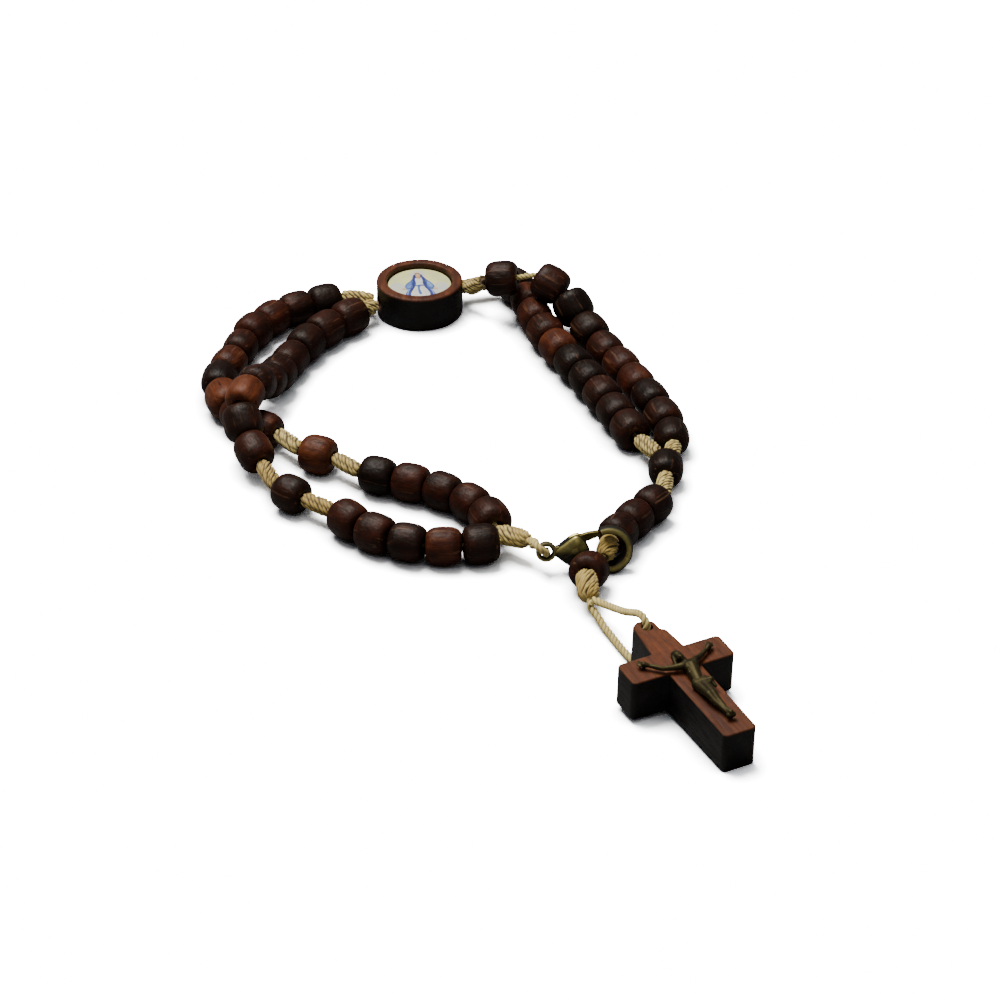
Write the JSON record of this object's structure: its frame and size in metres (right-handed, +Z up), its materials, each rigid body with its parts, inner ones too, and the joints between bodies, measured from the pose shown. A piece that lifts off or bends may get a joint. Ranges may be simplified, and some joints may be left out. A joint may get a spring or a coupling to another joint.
{
  "type": "rosary bracelet",
  "caption": "Rosary bracelet of dark turned wooden beads on knotted cream cord, with a round wooden picture medal, a lobster clasp and a wooden cross with a cast figure.",
  "frame": {"origin": "middle of the footprint, on the table that the bracelet lies on", "axes": "+Z up from the table, -Y towards the foot of the cross, +Y towards the medal, along the longest extent"},
  "size_m": [0.0826, 0.1347, 0.0118],
  "materials": {
    "bead_wood": "satin, dark reddish brown with lighter and nearly black beads among them",
    "cord": "twisted cream cord, matte",
    "medal_wood": "satin rim, burnt dark side",
    "picture": "printed picture",
    "cross_wood": "satin mahogany face, black sides",
    "bronze": "antique, dark in the hollows"
  },
  "bodies": {
    "bracelet": {"loop_beads": "bead_wood", "tail_beads": "bead_wood", "thread": "cord", "tail_thread": "cord", "clasp_tie": "cord", "cross_cord": "cord", "knots": "cord", "medal_frame": "medal_wood", "medal_picture": "picture", "cross": "cross_wood", "corpus": "bronze", "clasp_body": "bronze"},
    "lever": {"clasp_lever": "bronze"}
  },
  "joints": [
    {"name": "clasp_lever_hinge", "type": "hinge", "parent": "bracelet", "child": "lever", "pos_m": [0.01777, -0.01695, 0.00496], "axis": [-0.0592, 0.9685, -0.2419], "range_deg": [0, 22], "stiffness_Nm_per_rad": 0.002, "springref_deg": -20.05}
  ]
}
